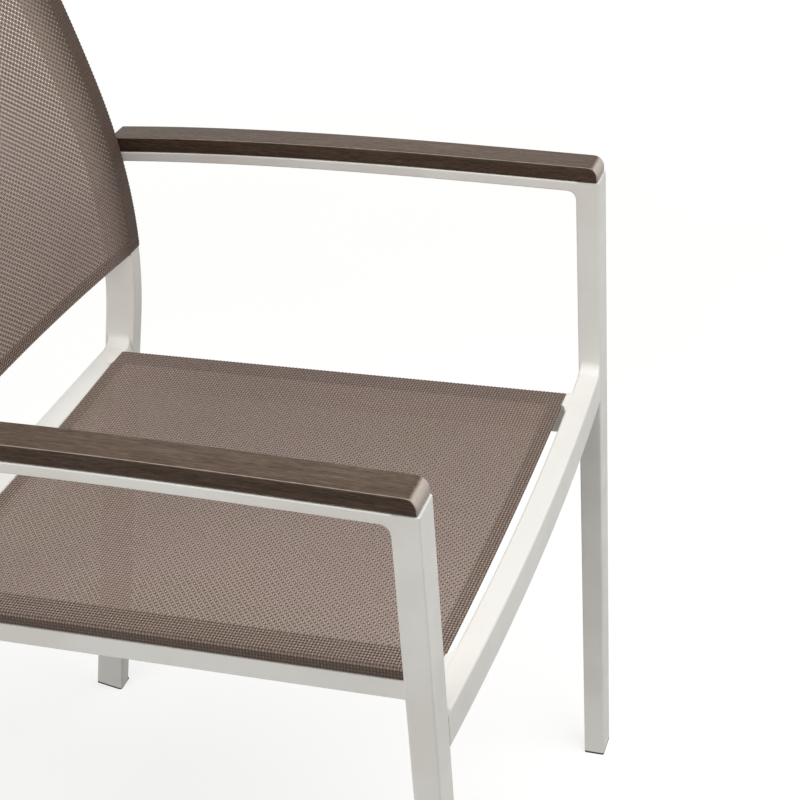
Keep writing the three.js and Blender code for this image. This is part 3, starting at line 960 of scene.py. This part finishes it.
def runsTo(points, scale=1.0):  # from the first point to each of them, along the line
    found = [0.0]
    for before, after in zip(points, points[1:]):
        found.append(found[-1] + (Vector(after) - Vector(before)).length * scale)
    return found


def stepHolding(levels, value):  # which step of a rising list holds a value, and the value's share of it
    value = min(max(value, levels[0]), levels[-1])
    for i in range(len(levels) - 1):
        if value <= levels[i + 1]:
            return i, (value - levels[i]) / (levels[i + 1] - levels[i])
    return len(levels) - 2, 1.0


# A sling's cloth. A point on it is given by its run across and along the flat cloth
class Cloth:
    def __init__(self, section, stations, light):
        self.section = section  # (x, drop) from the middle to the hem's end
        self.stations = stations  # (place of the face, outward direction)
        self.light = light
        self.reach = runsTo(section)
        self.rows = runsTo([at for at, up in stations], scale=1 / mm)
        self.length = self.rows[-1]
        shoulderStart = sling["panelSteps"] + 1
        self.inner = self.reach[sling["panelSteps"]] - sling["sideTuck"]
        self.shoulder = self.reach[shoulderStart]
        self.edge = self.reach[shoulderStart + sling["shoulderSteps"]]

    def point(self, across, along, lift=0.0):  # across is signed, in millimetres from the middle
        side = -1 if across < 0 else 1
        i, share = stepHolding(self.reach, abs(across))
        first, second = Vector(self.section[i]), Vector(self.section[i + 1])
        tangent = (second - first).normalized()
        spot = first.lerp(second, share) + Vector((-tangent.y, tangent.x)) * lift
        j, part = stepHolding(self.rows, along)
        at = self.stations[j][0].lerp(self.stations[j + 1][0], part)
        up = self.stations[j][1].lerp(self.stations[j + 1][1], part).normalized()
        found = at + up * (spot.y * mm)
        found.x = side * spot.x * mm
        return found


def slingSection(outer, width, sag):
    inner, steps = outer - width, sling["panelSteps"]
    lie = groove["gap"] + groove["cloth"] / 2
    edge = outer - groove["gap"] - groove["cloth"] / 2
    shoulder = outer - rebate - groove["shoulder"]
    bore = outer - groove["lip"] - boreRadius
    return [
        *[(inner * i / steps, lie - sag * (1 - (i / steps) ** 2)) for i in range(steps + 1)],
        *arcPoints((shoulder, -groove["shoulder"]), edge - shoulder, 90, 0, sling["shoulderSteps"]),
        (edge, -grooveFall),
        *arcPoints((bore, -grooveFall), groove["keder"] + lie, 0, sling["loopTurn"], sling["loopSteps"]),
    ]


def clothGrid(bm, cloth, acrossMarks, profile):  # profile is a line of (run along, lift)
    layer = bm.loops.layers.uv.get("cloth") or bm.loops.layers.uv.new("cloth")
    columns, rows = len(acrossMarks) - 1, len(profile) - 1
    made = bmesh.ops.create_grid(bm, x_segments=columns, y_segments=rows, size=0.5)["verts"]
    flat = {}
    for vert in made:
        across = acrossMarks[round((vert.co.x + 0.5) * columns)]
        along, lift = profile[round((vert.co.y + 0.5) * rows)]
        flat[vert] = (across, along)
        vert.co = cloth.point(across, along, lift)
    for face in {face for vert in made for face in vert.link_faces}:
        for loop in face.loops:
            across, along = flat[loop.vert]
            loop[layer].uv = (across * mm, along * mm)


def marks(low, high, step):
    count = max(1, math.ceil((high - low) / step))
    return [low + (high - low) * i / count for i in range(count + 1)]


def finishCloth(name, bm, material, nodes, thickness=0.0):
    bmesh.ops.remove_doubles(bm, verts=bm.verts, dist=joinDistance)
    bmesh.ops.recalc_face_normals(bm, faces=bm.faces)
    piece = settle(name, bm, material, nodes, weighted=False)
    if thickness:
        modifier = piece.modifiers.new("thickness", "SOLIDIFY")
        modifier.thickness = thickness * mm
        modifier.offset = 0.0
    return piece


def rowsAt(cloth, lift):  # a level line from end to end of the cloth, short of its folds
    turn = sling["layerGap"] / 2
    return [(along, lift) for along in marks(turn, cloth.length - turn, sling["rowStep"])]


def layPanel(name, node, cloth):
    bm = bmesh.new()
    columns = [-run for run in reversed(cloth.reach[1:])] + cloth.reach
    clothGrid(bm, cloth, columns, rowsAt(cloth, 0))
    return finishCloth(name, bm, name, [node])


def laySideHems(name, cloth):
    bm = bmesh.new()
    first = cloth.inner + sling["closestColumn"]
    runs = [cloth.inner] + [run for run in cloth.reach if first < run <= cloth.edge]
    for side in (-1, 1):
        clothGrid(bm, cloth, sorted(side * run for run in runs), rowsAt(cloth, -sling["sideGap"]))
    return finishCloth(f"{name}SideHems", bm, "hem", [], sling["sideThickness"])


def layEndHems(name, cloth):
    bm = bmesh.new()
    gap, width = sling["layerGap"], sling["hemWidth"]
    fold = arcPoints((gap / 2, -gap / 2), gap / 2, 90, 270, sling["foldSteps"])
    folded = fold + [(along, -gap) for along in marks(width / 3, width, sling["hemStep"])]  # past the fold
    columns = marks(-cloth.inner, cloth.inner, sling["columnStep"])
    clothGrid(bm, cloth, columns, folded)
    clothGrid(bm, cloth, columns, [(cloth.length - along, lift) for along, lift in folded])
    return finishCloth(f"{name}Hems", bm, "hem", [], groove["cloth"])


def addStitches(bm, cloth, start, end):
    run = Vector(end) - Vector(start)
    radius, count = sling["stitchRadius"] * mm, int(run.length / sling["stitchPitch"])
    for i in range(count):
        first = Vector(start) + run * ((i + sling["stitchStartShare"]) / count)
        second = first + run.normalized() * sling["stitchLength"]
        a, b = cloth.point(*first, sling["stitchLift"]), cloth.point(*second, sling["stitchLift"])
        made = bmesh.ops.create_icosphere(bm, subdivisions=1, radius=1.0)["verts"]
        turn = (b - a).to_track_quat("X", "Z").to_matrix().to_4x4()
        size = Matrix.Diagonal(((b - a).length / 2, radius, radius, 1))
        bmesh.ops.transform(bm, verts=made, matrix=Matrix.Translation((a + b) / 2) @ turn @ size)


def sewSeams(name, cloth):  # a double seam along each hem
    bm = bmesh.new()
    fromFold, fromEnd = sling["seamFromFold"], sling["seamFromEnd"]
    for offset in (fromFold, sling["hemWidth"] - fromEnd):
        for along in (offset, cloth.length - offset):
            addStitches(bm, cloth, (-cloth.shoulder, along), (cloth.shoulder, along))
    for side in (-1, 1):
        for run in (cloth.inner + fromEnd, cloth.edge - fromFold):
            addStitches(bm, cloth, (side * run, fromEnd), (side * run, cloth.length - fromEnd))
    return settle(f"{name}Stitches", bm, "thread", [], weighted=False)


def buildSling(name, node, cloth):
    materials[name] = weaveMaterial(name, cloth)
    panel = layPanel(name, node, cloth)
    print(name, "panel laid over its rails")
    trims = [laySideHems(name, cloth), layEndHems(name, cloth), sewSeams(name, cloth)]


# The light of a sling says how much its open corners let through, how strongly painted shade darkens the
# right and left sides, and where and how strongly painted shade darkens the wrap round the rail and beside
# it, from the side hem's inner edge
seatPanel = {
    "frontGap": 1.5,
    "rearGap": 5.0,
    "sag": 5.0,
    "step": 30.0,
    "light": {
        "across": (0.42, 0.15),
        "along": (1.1, 0.8),
        "shade": (0.14, 0.38),
        "wrap": (23.2, 25.2),
        "wrapShade": 0.62,
    },
}


def seatCloth():
    front, rear = frontRail["depth"] + seatPanel["frontGap"], rearRail["front"] - seatPanel["rearGap"]
    stations = [(place(0, y, seatRailTop(y)), zAxis) for y in marks(front, rear, seatPanel["step"])]
    section = slingSection(seatRail["outer"], seatRail["width"], seatPanel["sag"])
    return Cloth(section, stations, seatPanel["light"])


backPanel = {
    "footShare": 0.21,
    "topGap": 5.0,
    "sag": 10.0,
    "step": 12.0,
    "light": {
        "across": (0.6, 0.6),
        "along": (0.6, 1.7),
        "shade": (0.06, 0.06),
        "wrap": (-34.0, 6.0),
        "wrapShade": 0.78,
    },
}


def backCloth():
    rise = post["backHeight"] - whole["seatHeight"]
    foot = postLengthAt(whole["seatHeight"] + rise * backPanel["footShare"])
    top = postTop - topRail["height"] - backPanel["topGap"]
    stations = []
    for length in marks(foot, top, backPanel["step"]):
        depth, height, angle = postFace(length)
        stations.append((place(0, depth, height), Vector((0, -math.cos(angle), math.sin(angle)))))
    section = slingSection(post["outer"], post["width"], backPanel["sag"])
    return Cloth(section, stations, backPanel["light"])


buildSling("seatMesh", "seat_sling", seatCloth())
buildSling("backMesh", "back_sling", backCloth())
print("slings built")


# Small parts that keep their CAD shape
keptFinishes = {
    "front_foot_cap": "darkPlastic",
    "rear_foot_cap": "darkPlastic",
    "post_cap": "palePlastic",
    "seat_keder": "palePlastic",
    "back_keder": "palePlastic",
    "armrest_screw": "steel",
}
for name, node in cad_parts.items():
    for start, finish in keptFinishes.items():
        if name.startswith(start):
            for slot in node.material_slots:
                slot.material = materials[finish]
print("small parts finished")


# Floor, background and lamps
studio = {
    "white": (1, 1, 1, 1),
    "floorSize": 30.0,
    "floorColours": ((0.36, 0.355, 0.34, 1.0), (0.34, 0.335, 0.32, 1.0)),
    "floorScale": 3.0,
    "floorGlow": 0.74,
    "glowFade": (1.0, 4.0),  # metres from the chair's middle over which the floor turns white
    "worldLight": 0.33,
    "aim": (0, 0, 0.5),
    "lamps": [
        # name, place, size, watts
        ("frontTop", (-0.3, -1.1, 2.7), 2.0, 48.0),
        ("rightSide", (-2.7, 1.4, 1.75), 2.0, 38.0),
        ("noseLight", (2.25, -2.0, 1.57), 0.5, 4.0),
    ],
}


def floorMaterial():
    material, graph = newMaterial("paleFloor")
    grain = graph.noise(graph.objectPoint(), studio["floorScale"], 2.0)
    colour = graph.mix(grain.ramp(0.3, 0.7, 0.0, 0.4), *studio["floorColours"])
    spot = graph.add("ShaderNodeTexCoord", output="Object")
    away = graph.add("ShaderNodeVectorMath", {"operation": "LENGTH"}, {0: spot}, output="Value")
    glowLevel = away.ramp(*studio["glowFade"], studio["floorGlow"], 1.0) * graph.seen()
    bare = graph.add("ShaderNodeBsdfDiffuse", None, {"Color": colour})
    glow = graph.add("ShaderNodeEmission", None, {"Color": studio["white"], "Strength": glowLevel})
    both = graph.add("ShaderNodeAddShader", None, {0: bare, 1: glow})
    graph.node("ShaderNodeOutputMaterial", None, {"Surface": both})
    return material


def buildFloor():
    bm = bmesh.new()
    bmesh.ops.create_grid(bm, x_segments=1, y_segments=1, size=studio["floorSize"] / 2)
    mesh = bpy.data.meshes.new("floor")
    bm.to_mesh(mesh)
    bm.free()
    mesh.materials.append(floorMaterial())
    floor = bpy.data.objects.new("floor", mesh)
    bpy.context.scene.collection.objects.link(floor)


def buildWorld():
    world = bpy.data.worlds.new("studio")
    world.use_nodes = True
    bpy.context.scene.world = world
    graph = Graph(world.node_tree)
    strength = graph.seen().ramp(0.0, 1.0, studio["worldLight"], 1.0)
    back = graph.add("ShaderNodeBackground", None, {"Color": studio["white"], "Strength": strength})
    graph.node("ShaderNodeOutputWorld", None, {"Surface": back})


def buildLamps():
    for name, at, size, watts in studio["lamps"]:
        data = bpy.data.lights.new(name, "AREA")
        data.shape = "SQUARE"
        data.size = size
        data.energy = watts
        lamp = bpy.data.objects.new(name, data)
        lamp.location = at
        lamp.rotation_mode = "QUATERNION"
        lamp.rotation_quaternion = (Vector(studio["aim"]) - Vector(at)).to_track_quat("-Z", "Y")
        bpy.context.scene.collection.objects.link(lamp)


buildFloor()
buildWorld()
buildLamps()
bpy.context.scene.view_settings.view_transform = "Standard"
print("studio lit")
